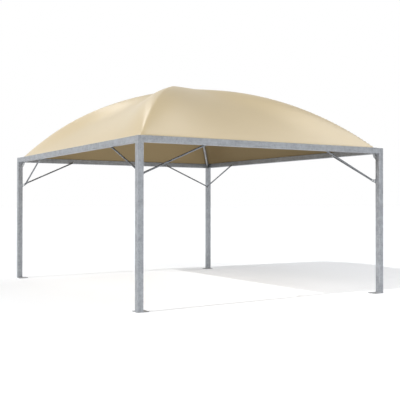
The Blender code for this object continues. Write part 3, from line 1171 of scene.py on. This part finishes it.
@dataclass
class Braces:
    """The eight knee braces: round bars with flattened, bolted ends.

    Attributes:
        lug_eye: the lug's bolt, inwards from the corner edge and up from the ground.
        radius: radius of the bar.
        reach: from the frame's outer face to the beam bolt.
        bolt_above: the beam bolt above the beam's underside.
        sides: points round the bar.
        taper_rings: rings in each change from bar to paddle.
        paddle_thick: thickness of a flattened end.
        paddle_half_width: half its width.
        paddle_end: from the bolt to its tip.
        paddle_neck: from the bolt to where it starts to thicken.
        paddle_taper: length of that change.
        squareness: how square a paddle's section is.
        tip_ring: place of the ring before a tip, as a share of the way from the bolt.
        bar_span: where the bar's first and last rings lie between its ends.
        bar_rings: rings along the bar.
    """

    lug_eye: tuple[float, float] = (0.040, 1.664)
    radius: float = 0.0125
    reach: float = 1.03
    bolt_above: float = 0.022
    sides: int = 20
    taper_rings: int = 5
    paddle_thick: float = 0.005
    paddle_half_width: float = 0.015
    paddle_end: float = 0.014
    paddle_neck: float = 0.018
    paddle_taper: float = 0.035
    squareness: float = 8.0
    tip_ring: float = 0.9
    bar_span: Span = (0.08, 0.92)
    bar_rings: int = 8

    def ends(self, corner: Corner, run: Run) -> tuple[Vector, Vector, Vector, Vector]:
        """Return a brace's two bolt places and the sides its flattened ends face.

        Args:
            corner: the corner it belongs to.
            run: ACROSS to the front or back beam, ALONG to a side beam.

        Returns:
            Lug bolt, the way that end faces, beam bolt, the way that end faces.
        """
        inwards = SIZES.inwards(corner)
        eye = SIZES.inner_edge(corner, self.lug_eye[1]) + inwards * self.lug_eye[0]
        slope_x, slope_y = abs(inwards.x), abs(inwards.y)
        lug_side = Vector((-corner.side_x * slope_y, corner.side_y * slope_x, 0))
        face = SIZES.gap + self.paddle_thick / 2
        height = SIZES.beam_bottom + self.bolt_above
        if run is Run.ACROSS:
            beam_bolt = Vector((corner.side_x * (SIZES.plan_width / 2 - self.reach),
                                corner.side_y * (SIZES.half_y - face), height))
            beam_side = Vector((0, -corner.side_y, 0))
        else:
            lug_side = -lug_side
            beam_bolt = Vector((corner.side_x * (SIZES.half_x - face),
                                corner.side_y * (SIZES.plan_depth / 2 - self.reach), height))
            beam_side = Vector((-corner.side_x, 0, 0))
        lug_bolt = eye + lug_side * (SIZES.lug_thick / 2 + SIZES.gap + self.paddle_thick / 2)
        return lug_bolt, lug_side, beam_bolt, beam_side

    def section(self, centre: Vector, tangent: Vector, thin_way: Vector,
                flatness: float) -> list[Vector]:
        """Return one cross-section between a flat paddle and a round bar.

        Args:
            centre: its middle.
            tangent: the way the brace runs there.
            thin_way: the way that the paddle is thin.
            flatness: 1 for the paddle, 0 for the bar.

        Returns:
            Points round the section.
        """
        thin = (thin_way - tangent * thin_way.dot(tangent)).normalized()
        wide = tangent.cross(thin)
        half_width = self.radius + (self.paddle_half_width - self.radius) * flatness
        half_thick = self.radius + (self.paddle_thick / 2 - self.radius) * flatness
        power = 2.0 + (self.squareness - 2.0) * flatness
        ring = []
        for step in range(self.sides):
            angle = 2 * math.pi * (step + 0.5) / self.sides
            u, v = math.cos(angle), math.sin(angle)
            scale = (abs(u) ** power + abs(v) ** power) ** (-1 / power)
            ring.append(centre + wide * (half_width * u * scale)
                        + thin * (half_thick * v * scale))
        return ring

    def rings(self, corner: Corner, run: Run) -> list[list[Vector]]:
        """Return all cross-sections of one brace.

        Args:
            corner: the corner it belongs to.
            run: which of the two braces.

        Returns:
            The cross-sections from the lug up to the beam.
        """
        lug_bolt, lug_side, beam_bolt, beam_side = self.ends(corner, run)
        slope = (beam_bolt - lug_bolt).normalized()
        lug_way = (slope - lug_side * slope.dot(lug_side)).normalized()
        beam_way = (slope - beam_side * slope.dot(beam_side)).normalized()
        lug_neck = lug_bolt + lug_way * self.paddle_neck
        low = lug_neck + (lug_way + slope).normalized() * self.paddle_taper
        beam_neck = beam_bolt - beam_way * self.paddle_neck
        stand_off = self.radius + 3 * SIZES.gap - self.paddle_thick / 2
        high = beam_neck - beam_way * self.paddle_taper + beam_side * stand_off
        bar_way = (high - low).normalized()
        tip_way = lug_way * self.paddle_end
        rings = [self.section(lug_bolt - tip_way * share, lug_way, lug_side, 1.0)
                 for share in (1.0, self.tip_ring)]
        rings += self.taper(lug_neck, lug_way, low, bar_way, lug_side)
        for share in np.linspace(*self.bar_span, self.bar_rings):
            side = lug_side.lerp(beam_side, float(share))
            rings.append(self.section(low.lerp(high, float(share)), bar_way, side, 0.0))
        rings += self.taper(beam_neck, beam_way, high, bar_way, beam_side)[::-1]
        tip_way = beam_way * self.paddle_end
        rings += [self.section(beam_bolt + tip_way * share, beam_way, beam_side, 1.0)
                  for share in (self.tip_ring, 1.0)]
        return rings

    def taper(self, neck: Vector, neck_way: Vector, bar: Vector, bar_way: Vector,
              side: Vector) -> list[list[Vector]]:
        """Return the cross-sections from a paddle's neck to the round bar.

        Args:
            neck: middle of the section where the change starts.
            neck_way: the way the paddle runs.
            bar: middle of the first round section.
            bar_way: the way the bar runs.
            side: the way that the paddle faces.

        Returns:
            The cross-sections.
        """
        rings = []
        for share in np.linspace(0.0, 1.0, self.taper_rings):
            share = float(share)
            ease = eased(share)
            way = neck_way.lerp(bar_way, ease).normalized()
            rings.append(self.section(neck.lerp(bar, share), way, side, 1.0 - ease))
        return rings

    def build(self, finishes: Finishes) -> None:
        """Make the eight braces.

        Args:
            finishes: the materials.
        """
        for corner in CORNERS:
            for run in (Run.ACROSS, Run.ALONG):
                name = f"brace_{corner.name}_{run.value}"
                skinned_piece(f"knee_{name}", self.rings(corner, run), finishes.brace,
                              (name,))

    def head_marks(self) -> list[Mark]:
        """Return where bolt heads go: on one side of each lug and on each beam end.

        Returns:
            The marks.
        """
        marks = []
        seat = self.paddle_thick / 2
        for corner in CORNERS:
            for run in (Run.ACROSS, Run.ALONG):
                lug_bolt, lug_side, beam_bolt, beam_side = self.ends(corner, run)
                if run is Run.ACROSS:
                    marks.append(Mark(lug_bolt + lug_side * seat, lug_side, UP))
                marks.append(Mark(beam_bolt + beam_side * seat, beam_side, UP))
        return marks

    def nut_marks(self) -> list[Mark]:
        """Return where the nuts go, on the other side of each lug."""
        ends = [self.ends(corner, Run.ALONG) for corner in CORNERS]
        return [Mark(bolt + side * (self.paddle_thick / 2), side, UP) for bolt, side, _, _ in ends]


@dataclass
class Fasteners:
    """Hex bolts, nuts and clamp screws, each from its own Geometry Nodes tree.

    Attributes:
        head_width: a bolt head across its flats.
        head_height: its height.
        chamfer: share of that height that is chamfered.
        chamfer_taper: the chamfer's upper radius against its lower one.
        washer_width: a washer's diameter.
        washer_thick: its thickness.
        thread_radius: the bolt's thread.
        thread_taper: radius of the thread's tip against that.
        bare_end: height of the mark in the middle of a head.
        nut_end: how far a thread stands out of its nut.
        screw_head: a clamp screw's head diameter.
        screw_washer: its washer's diameter against the head's.
        screw_washer_thick: its washer's thickness.
        screw_rim: height and upper radius of its head's rim, against the head's radius.
        screw_dome: height and upper radius of the dome on the rim, likewise.
        screw_spacing: distance between clamp screws.
        washer_sides: points round a washer.
        thread_sides: points round a thread.
        screw_sides: points round a clamp screw's washer and head.
    """

    head_width: float = 0.019
    head_height: float = 0.0075
    chamfer: float = 0.18
    chamfer_taper: float = 0.8
    washer_width: float = 0.026
    washer_thick: float = 0.0022
    thread_radius: float = 0.006
    thread_taper: float = 0.86
    bare_end: float = 0.0004
    nut_end: float = 0.006
    screw_head: float = 0.0105
    screw_washer: float = 1.4
    screw_washer_thick: float = 0.0012
    screw_rim: Span = (0.35, 0.86)
    screw_dome: Span = (0.22, 0.42)
    screw_spacing: float = 0.20
    washer_sides: int = 20
    thread_sides: int = 14
    screw_sides: tuple[int, int] = (16, 12)

    def bolt_recipe(self, name: str, thread_end: float) -> GeometryRecipe:
        """Build the tree of a washer, a hex head with a chamfered top, and a thread end.

        Args:
            name: name of the tree.
            thread_end: how far the thread stands out above the nut or head.

        Returns:
            The recipe.
        """
        recipe = GeometryRecipe(name, {
            "Head Width": self.head_width, "Head Height": self.head_height,
            "Washer Width": self.washer_width, "Washer Thickness": self.washer_thick,
            "Thread Radius": self.thread_radius, "Thread End": thread_end,
        }, seed=11)
        sketch, given = recipe.sketch, recipe.given
        radius = sketch.times(given["Head Width"], 1 / math.sqrt(3))
        wall = sketch.times(given["Head Height"], 1 - self.chamfer)
        cap = sketch.times(given["Head Height"], self.chamfer)
        middle = sketch.plus(given["Washer Thickness"], sketch.times(wall, 0.5))
        hexagon = recipe.part("GeometryNodeMeshCylinder", middle,
                              {"Vertices": HEXAGON, "Radius": radius, "Depth": wall})
        top = sketch.plus(given["Washer Thickness"], wall)
        chamfer = recipe.cone(top, HEXAGON, radius, self.chamfer_taper, cap)
        thread = recipe.cone(sketch.plus(top, cap), self.thread_sides, given["Thread Radius"],
                             self.thread_taper, given["Thread End"])
        shapes = [recipe.washer(self.washer_sides), hexagon, chamfer, thread]
        recipe.finish(recipe.join(shapes), spin=math.pi / 3)
        return recipe

    def screw_recipe(self) -> GeometryRecipe:
        """Build the tree of a domed clamp screw with its washer.

        Returns:
            The recipe.
        """
        recipe = GeometryRecipe("clamp_screw_tree", {
            "Head Diameter": self.screw_head,
            "Washer Width": self.screw_washer * self.screw_head,
            "Washer Thickness": self.screw_washer_thick,
        }, seed=7)
        sketch, thick = recipe.sketch, recipe.given["Washer Thickness"]
        radius = sketch.times(recipe.given["Head Diameter"], 0.5)
        washer_sides, sides = self.screw_sides
        rim = sketch.times(radius, self.screw_rim[0])
        skirt = recipe.cone(thick, sides, radius, self.screw_rim[1], rim)
        shoulder = sketch.times(radius, self.screw_rim[1])
        crown = recipe.cone(sketch.plus(thick, rim), sides, shoulder, self.screw_dome[1],
                            sketch.times(radius, self.screw_dome[0]), top=radius)
        recipe.finish(recipe.join([recipe.washer(washer_sides), skirt, crown]), spin=math.pi / 6)
        return recipe

    def screw_marks(self) -> list[Mark]:
        """Return where the screws go along the middle of each clamp bar.

        Returns:
            The marks.
        """
        marks = []
        height = SIZES.hem_top + SIZES.gap + SIZES.clamp_thick
        beside = SIZES.clamp_inset + SIZES.clamp_width / 2
        beams = ((SIZES.half_x, SIZES.half_y, True), (SIZES.half_y, SIZES.half_x, False))
        for half, other, across in beams:
            count = round(2 * half / self.screw_spacing)
            for step in range(count):
                run = (step + 0.5) / count * 2 * half - half
                for side in (-1, 1):
                    out = side * (other + beside)
                    plan = (run, out) if across else (out, run)
                    marks.append(Mark(Vector((*plan, height)), UP))
        return marks

    def build(self, finishes: Finishes, braces: Braces, arches: Arches) -> None:
        """Make all fasteners.

        Args:
            finishes: the materials.
            braces: gives the bolts of the knee braces.
            arches: gives the bolts of the crown collars.
        """
        heads = self.bolt_recipe("hex_bolt_tree", self.bare_end)
        heads.grow("brace_bolt_heads", braces.head_marks(), finishes.bolt, Slot.BRACE)
        nuts = self.bolt_recipe("hex_nut_tree", self.nut_end)
        nuts.grow("brace_lug_nuts", braces.nut_marks(), finishes.bolt, Slot.BRACE)
        small = Fasteners(head_width=0.010, head_height=0.004, washer_width=0.0,
                          thread_radius=0.003)
        collar = small.bolt_recipe("collar_bolt_tree", self.bare_end)
        collar.grow("collar_bolts", arches.bolt_marks(), finishes.bolt, Slot.ARCH)
        self.screw_recipe().grow("clamp_screws", self.screw_marks(), finishes.bolt, Slot.CLAMP)


@dataclass
class Welds:
    """Weld beads: overlapping ripples along each welded joint.

    Attributes:
        pitch: distance between ripples.
        length: length of a ripple.
        width: width of a bead.
        height: its height.
        uneven: the least and the most of a ripple's size.
        lug_low: lower end of a lug's root.
        lug_high: its upper end.
        foot_low: lower end of an arch foot plate.
        foot_thick: its thickness.
        root_inset: how far inwards of the corner edge a plate's beads lie.
        post_lift: how far a post's foot beads lie above its base plate.
        post_sink: how far they lie beside the post.
        post_keep: how far they stop short of the outer face.
        beam_keep: how far a beam's beads stop short of its corners.
        beam_clear: how far a foot plate's beads stop below the beams.
        arch_span: where an arch's beads start and end, before the inner corner edge.
        arch_lift: how far they lie above the tube's underside.
    """

    pitch: float = 0.0036
    length: float = 0.0062
    width: float = 0.0075
    height: float = 0.0052
    uneven: Span = (0.86, 1.12)
    lug_low: float = 1.622
    lug_high: float = 1.684
    foot_low: float = 1.975
    foot_thick: float = 0.008
    root_inset: float = 0.0012
    post_lift: float = 0.0012
    post_sink: float = 0.0008
    post_keep: float = 0.004
    beam_keep: float = 0.006
    beam_clear: float = 0.004
    arch_span: Span = (0.104, 0.046)
    arch_lift: float = 0.0006

    def recipe(self) -> GeometryRecipe:
        """Build the tree of one ripple, flattened and slightly uneven.

        Returns:
            The recipe.
        """
        recipe = GeometryRecipe("weld_bead_tree", {
            "Bead Width": self.width, "Bead Length": self.length, "Bead Height": self.height,
        }, seed=23)
        sketch, given = recipe.sketch, recipe.given
        ball = sketch.put("GeometryNodeMeshUVSphere", {"Segments": 8, "Rings": 5, "Radius": 0.5})
        wires = {2: self.uneven[0], 3: self.uneven[1], "Seed": given["Seed"]}
        uneven = sketch.put("FunctionNodeRandomValue", wires, data_type="FLOAT").outputs[1]
        size = sketch.put("ShaderNodeCombineXYZ", {
            "X": given["Bead Length"], "Y": sketch.times(given["Bead Width"], uneven),
            "Z": sketch.times(given["Bead Height"], uneven),
        })
        recipe.finish(ball.outputs[0], scale=size.outputs[0])
        return recipe

    def along(self, start: Vector, end: Vector, axis: Vector) -> list[Mark]:
        """Return ripples between two points.

        Args:
            start: first end of the joint.
            end: its other end.
            axis: the way that the bead faces.

        Returns:
            The marks.
        """
        count = max(2, round((end - start).length / self.pitch))
        way = (end - start).normalized()
        return [Mark(start.lerp(end, (step + 0.5) / count), axis.normalized(), way)
                for step in range(count)]

    def post_foot(self, corner: Corner) -> list[Mark]:
        """Return the bead round a post's foot, along the two sides that have plate beside them.

        Args:
            corner: the post's corner.

        Returns:
            The marks.
        """
        height = SIZES.plate_thick + self.post_lift
        inner = SIZES.inner_edge(corner, height)
        in_x, in_y = Vector((-corner.side_x, 0, 0)), Vector((0, -corner.side_y, 0))
        outer_x = Vector((corner.side_x * SIZES.plan_width / 2, inner.y, height))
        outer_y = Vector((inner.x, corner.side_y * SIZES.plan_depth / 2, height))
        marks = []
        for outer, back, facing in ((outer_x, in_x, in_y), (outer_y, in_y, in_x)):
            sink = facing * self.post_sink
            marks += self.along(inner + sink, outer + sink + back * self.post_keep, facing + UP)
        return marks

    def beam_ends(self, corner: Corner) -> list[Mark]:
        """Return the beads under both beam ends, where they meet the post.

        Args:
            corner: the post's corner.

        Returns:
            The marks.
        """
        low, keep = SIZES.beam_bottom, self.beam_keep
        side_x, side_y = corner.side_x, corner.side_y
        x, y = side_x * SIZES.half_x, side_y * SIZES.half_y
        far_x = side_x * (SIZES.plan_width / 2 - keep)
        far_y = side_y * (SIZES.plan_depth / 2 - keep)
        marks = self.along(Vector((x, y + side_y * keep, low)), Vector((x, far_y, low)),
                           Vector((-side_x, 0, -1)))
        marks += self.along(Vector((x + side_x * keep, y, low)), Vector((far_x, y, low)),
                            Vector((0, -side_y, -1)))
        return marks

    def upright_pair(self, corner: Corner, half_thick: float, low: float,
                     high: float) -> list[Mark]:
        """Return the two beads beside a plate that stands on a post's corner edge.

        Args:
            corner: the post's corner.
            half_thick: half the plate's thickness.
            low: their lower end.
            high: their upper end.

        Returns:
            The marks.
        """
        inwards = SIZES.inwards(corner)
        sideways = sideways_of(inwards)
        edge = SIZES.inner_edge(corner, 0) + inwards * self.root_inset
        marks = []
        for side in (-1, 1):
            foot, facing = edge + sideways * (side * half_thick), inwards + sideways * side
            marks += self.along(foot + UP * low, foot + UP * high, facing)
        return marks

    def arch_foot(self, corner: Corner) -> list[Mark]:
        """Return the beads between an arch's foot and its plate.

        Args:
            corner: the arch's corner.

        Returns:
            The marks.
        """
        inwards = SIZES.inwards(corner)
        sideways = sideways_of(inwards)
        radius = SIZES.arch_axis_radius - SIZES.arch_radius + self.arch_lift
        near, far = (SIZES.on_arch(corner, SIZES.half_diagonal - before, radius)
                     for before in self.arch_span)
        marks = []
        for side in (-1, 1):
            shift = sideways * (side * self.foot_thick / 2)
            marks += self.along(near + shift, far + shift, sideways * side - UP)
        return marks

    def build(self, finishes: Finishes) -> None:
        """Make the beads, one piece for each kind of joint.

        Args:
            finishes: the materials.
        """
        recipe = self.recipe()
        kinds: dict[str, tuple[Slot, Callable[[Corner], list[Mark]]]] = {
            "post_foot_welds": (Slot.PLATE, self.post_foot),
            "beam_end_welds": (Slot.TUBE, self.beam_ends),
            "lug_welds": (Slot.PLATE, lambda corner: self.upright_pair(
                corner, SIZES.lug_thick / 2, self.lug_low, self.lug_high)),
            "foot_plate_welds": (Slot.PLATE, lambda corner: self.upright_pair(
                corner, self.foot_thick / 2, self.foot_low,
                SIZES.beam_bottom - self.beam_clear)),
            "arch_foot_welds": (Slot.ARCH, self.arch_foot),
        }
        for name, (slot, places) in kinds.items():
            marks = [mark for corner in CORNERS for mark in places(corner)]
            recipe.grow(name, marks, finishes.weld, slot, NO_SHARP_EDGES)


@dataclass(frozen=True)
class Frame:
    """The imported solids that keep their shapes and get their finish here."""

    def dress(self, finishes: Finishes) -> None:
        """Give each solid its finish.

        Args:
            finishes: the materials.
        """
        looks = {
            "post_": finishes.post,
            "beam_front": finishes.beam_across,
            "beam_back": finishes.beam_across,
            "beam_left": finishes.beam_along,
            "beam_right": finishes.beam_along,
            "base_plate_": finishes.plate,
            "arch_foot_plate_": finishes.plate,
            "brace_lug_": finishes.plate,
            "half_arch_": finishes.arch,
            "crown_": finishes.arch,
            "brace_": finishes.brace,
            "clamp_bar_": finishes.clamp,
            "membrane": finishes.fabric,
        }
        for name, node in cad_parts.items():
            finish = next(look for start, look in looks.items() if name.startswith(start))
            node.data.materials.clear()
            node.data.materials.append(finish)
            LOG.info("%s: %s", name, finish.name)


WARM: Colour = (0.99, 0.98, 0.955)


@dataclass(frozen=True)
class Lamp:
    """One distant light.

    Attributes:
        name: its name.
        power: its strength.
        azimuth: where it stands, in degrees from +X.
        height: its height in degrees.
        spread: its apparent size in degrees.
        colour: its colour.
    """

    name: str
    power: float
    azimuth: float
    height: float
    spread: float
    colour: Colour = (1.0, 1.0, 1.0)

    def make(self) -> None:
        """Add the light to the scene."""
        light = bpy.data.lights.new(self.name, "SUN")
        light.energy = self.power
        light.color = self.colour
        light.angle = math.radians(self.spread)
        lamp = bpy.data.objects.new(self.name, light)
        azimuth, height = math.radians(self.azimuth), math.radians(self.height)
        level = math.cos(height)
        towards = Vector((level * math.cos(azimuth), level * math.sin(azimuth), math.sin(height)))
        lamp.rotation_euler = towards.to_track_quat("Z", "Y").to_euler()
        bpy.context.scene.collection.objects.link(lamp)


@dataclass(frozen=True)
class Stage:
    """Floor, light and camera.

    Attributes:
        floor_half: half the floor's side.
        floor_cells: cells of the floor's grid each way.
        floor_colour: the floor's colour, cooler than the warm lamps on it.
        floor_glow: light that the floor adds, at the front and at the back.
        glow_span: where that starts and ends to change, from front to back.
        sky: brightness all round, at the horizon and overhead.
        sky_span: the directions' heights between which it changes.
        below: brightness of the light that comes back up, on the left and on the right.
        below_span: the directions' places from left to right between which it changes.
        horizon: the direction's height that parts the two.
        lamps: the studio's lights.
        eye: place of the camera.
        heading: the way it looks, in radians from +Y towards +X.
        pitch: how far it looks up, in radians.
        roll: its lean, in radians.
        focal_px: focal length in image pixels.
        image_px: width of the image in pixels.
        sensor: width of the camera's sensor in millimetres.
    """

    floor_half: float = 400.0
    floor_cells: int = 8
    floor_colour: Colour = (0.962, 0.975, 1.0)
    floor_glow: Span = (0.22, 0.03)
    glow_span: Span = (-3.0, 6.0)
    sky: Span = (1.0, 0.05)
    sky_span: Span = (0.28, 0.66)
    below: Span = (0.02, 0.66)
    below_span: Span = (-0.9, 0.2)
    horizon: float = -0.01
    lamps: tuple[Lamp, ...] = (
        Lamp("key_light", power=1.84, azimuth=-174.1, height=32.3, spread=0.8, colour=WARM),
        Lamp("left_fill", power=0.70, azimuth=180.0, height=14.0, spread=40.0, colour=WARM),
        Lamp("right_fill", power=0.90, azimuth=0.0, height=14.0, spread=40.0),
        Lamp("right_top", power=0.82, azimuth=0.0, height=50.0, spread=40.0),
        Lamp("front_fill", power=0.72, azimuth=-130.0, height=35.0, spread=40.0),
        Lamp("back_light", power=0.14, azimuth=86.0, height=40.0, spread=8.0),
    )
    eye: Triple = (-5.81582, -10.50322, 1.28952)
    heading: float = 0.52932
    pitch: float = 0.00773
    roll: float = 0.00088
    focal_px: float = 735.58
    image_px: int = 400
    sensor: float = 36.0

    def build(self) -> None:
        """Make floor, light and camera."""
        self.floor()
        self.world()
        for lamp in self.lamps:
            lamp.make()
        self.camera()
        bpy.context.scene.view_settings.view_transform = "Standard"

    def floor(self) -> None:
        """Lay the pale floor."""
        bm = bmesh.new()
        bmesh.ops.create_grid(bm, x_segments=self.floor_cells, y_segments=self.floor_cells,
                              size=self.floor_half)
        material, sketch, shader = fresh_material("pale_floor")
        place = sketch.put("ShaderNodeTexCoord").outputs["Object"]
        depth = sketch.put("ShaderNodeSeparateXYZ", {0: place}).outputs["Y"]
        sketch.feed(shader, {
            "Base Color": (*self.floor_colour, 1.0),
            "Roughness": 1.0,
            "Specular IOR Level": 0.0,
            "Emission Color": (1.0, 1.0, 1.0, 1.0),
            "Emission Strength": sketch.stretch(depth, self.floor_glow, self.glow_span),
        })
        mesh = mesh_from(bm, "floor", material)
        floor = bpy.data.objects.new("floor", mesh)
        bpy.context.scene.collection.objects.link(floor)
        floor.visible_diffuse = False
        floor.visible_shadow = False

    def world(self) -> None:
        """Light the scene softly from the sides, less from above and below."""
        world = bpy.data.worlds.new("studio")
        bpy.context.scene.world = world
        world.use_nodes = True
        sketch = NodeSketch(world.node_tree)
        way = sketch.put("ShaderNodeTexCoord").outputs["Generated"]
        parts = sketch.put("ShaderNodeSeparateXYZ", {0: way}).outputs
        above = sketch.stretch(parts["Z"], self.sky, self.sky_span)
        under = sketch.stretch(parts["X"], self.below, self.below_span)
        over = sketch.maths("GREATER_THAN", parts["Z"], self.horizon)
        share = sketch.put("ShaderNodeMix", {0: over, 2: under, 3: above}).outputs[0]
        sketch.feed(world.node_tree.nodes["Background"],
                    {"Color": (1.0, 1.0, 1.0, 1.0), "Strength": share})

    def camera(self) -> None:
        """Place the camera at the photograph's viewing angle."""
        data = bpy.data.cameras.new("camera")
        data.sensor_width = self.sensor
        data.lens = self.focal_px / self.image_px * self.sensor
        data.clip_end = 4 * self.floor_half
        camera = bpy.data.objects.new("camera", data)
        turn = Euler((math.pi / 2 + self.pitch, 0.0, -self.heading)).to_matrix()
        leaning = turn.to_4x4() @ Matrix.Rotation(self.roll, 4, "Z")
        camera.matrix_world = Matrix.Translation(self.eye) @ leaning
        bpy.context.scene.collection.objects.link(camera)
        bpy.context.scene.camera = camera


def main() -> None:
    """Dress the frame and add every piece in order."""
    logging.basicConfig(level=logging.INFO, format="%(name)s %(message)s")
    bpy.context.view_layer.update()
    finishes = Finishes.make()
    Frame().dress(finishes)
    arches = Arches()
    arches.build(finishes)
    braces = Braces()
    braces.build(finishes)
    Membrane().build(finishes)
    Fasteners().build(finishes, braces, arches)
    Welds().build(finishes)
    Stage().build()


if __name__ == "__main__":
    main()
